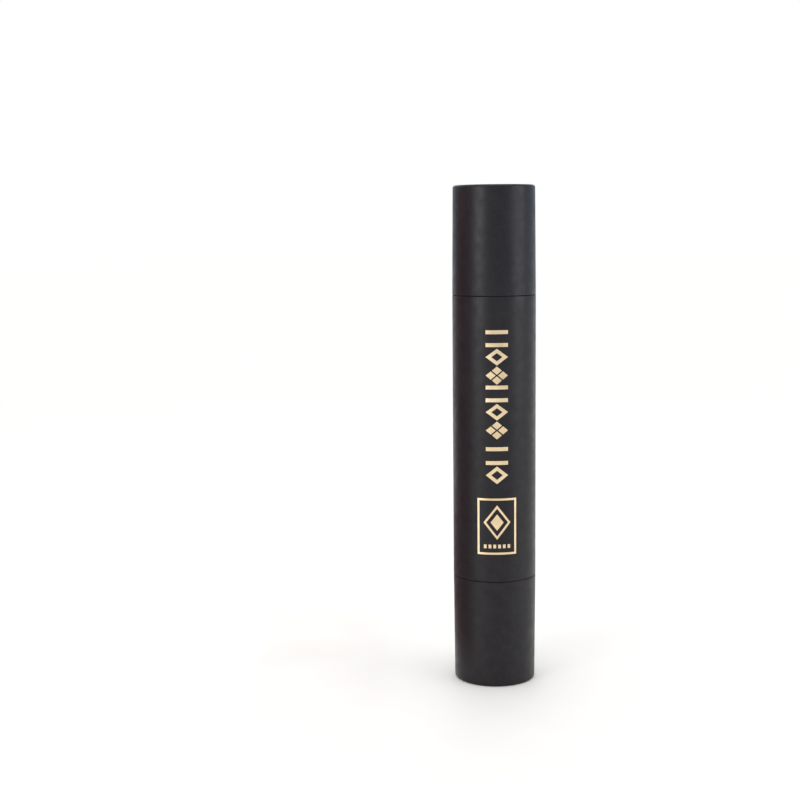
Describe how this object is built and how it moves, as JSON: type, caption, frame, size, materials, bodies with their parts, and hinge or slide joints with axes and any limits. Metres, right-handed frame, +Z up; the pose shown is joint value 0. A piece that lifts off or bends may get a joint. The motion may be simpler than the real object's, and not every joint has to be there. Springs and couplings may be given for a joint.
{
  "type": "lipstick case",
  "caption": "Slim round case in matte black that stands upright, with a pull-off cap and a twist-up lipstick in each end.",
  "frame": {"origin": "centre of the lower cap's flat end, on the surface that the case stands on", "axes": "+Z up along the case, from the lower cap to the upper cap; -Y is the front of the barrel, where the gold decoration is; +X is to the right of that front"},
  "size_m": [0.02, 0.02, 0.12],
  "materials": {
    "soft_touch_black": "soft-touch rubberised lacquer, fine even grain, matte with a broad soft sheen",
    "inner_black": "satin moulded",
    "socket_black": "as moulded",
    "gold_aluminium": "bright gold anodised, drawn; also the gold foil stamped on the barrel",
    "mechanism_natural": "natural moulded",
    "silicone": "matte translucent",
    "lipstick_rose": "cast wax with a soft lustre",
    "lipstick_brick": "cast wax with a soft lustre"
  },
  "bodies": {
    "lower_cap": {"lower_cap_shell": "soft_touch_black", "lower_cap_liner": "inner_black"},
    "lower_carrier": {"lower_cup": "mechanism_natural", "lower_lipstick": "lipstick_brick"},
    "barrel": {"barrel_shell": "soft_touch_black", "centre_socket": "socket_black", "upper_collar": "inner_black", "upper_inner_body": "mechanism_natural", "upper_friction_ring": "silicone", "lower_collar": "inner_black", "lower_inner_body": "mechanism_natural", "lower_friction_ring": "silicone"},
    "lower_sleeve": {"lower_outer_sleeve": "gold_aluminium", "lower_spiral": "mechanism_natural"},
    "upper_sleeve": {"upper_outer_sleeve": "gold_aluminium", "upper_spiral": "mechanism_natural"},
    "upper_carrier": {"upper_cup": "mechanism_natural", "upper_lipstick": "lipstick_rose"},
    "upper_cap": {"upper_cap_shell": "soft_touch_black", "upper_cap_liner": "inner_black"}
  },
  "joints": [
    {"name": "lower_cap_pull", "type": "slide", "parent": "lower_cap", "child": "lower_carrier", "axis": [0, 0, 1], "range_m": [0, 0.034]},
    {"name": "lower_lipstick_feed", "type": "slide", "parent": "lower_carrier", "child": "barrel", "axis": [0, 0, 1], "range_m": [0, 0.03]},
    {"name": "lower_twist", "type": "hinge", "parent": "barrel", "child": "lower_sleeve", "pos_m": [0, 0, 0.04], "axis": [0, 0, 1], "range_deg": [0, 720]},
    {"name": "upper_twist", "type": "hinge", "parent": "barrel", "child": "upper_sleeve", "pos_m": [0, 0, 0.08], "axis": [0, 0, -1], "range_deg": [0, 720]},
    {"name": "upper_lipstick_feed", "type": "slide", "parent": "barrel", "child": "upper_carrier", "axis": [0, 0, 1], "range_m": [0, 0.03]},
    {"name": "upper_cap_pull", "type": "slide", "parent": "upper_carrier", "child": "upper_cap", "axis": [0, 0, 1], "range_m": [0, 0.034]}
  ],
  "couplings": [
    {"joint": "lower_twist", "follows": "lower_lipstick_feed", "rad_per_m": 418.88},
    {"joint": "upper_twist", "follows": "upper_lipstick_feed", "rad_per_m": 418.88}
  ]
}
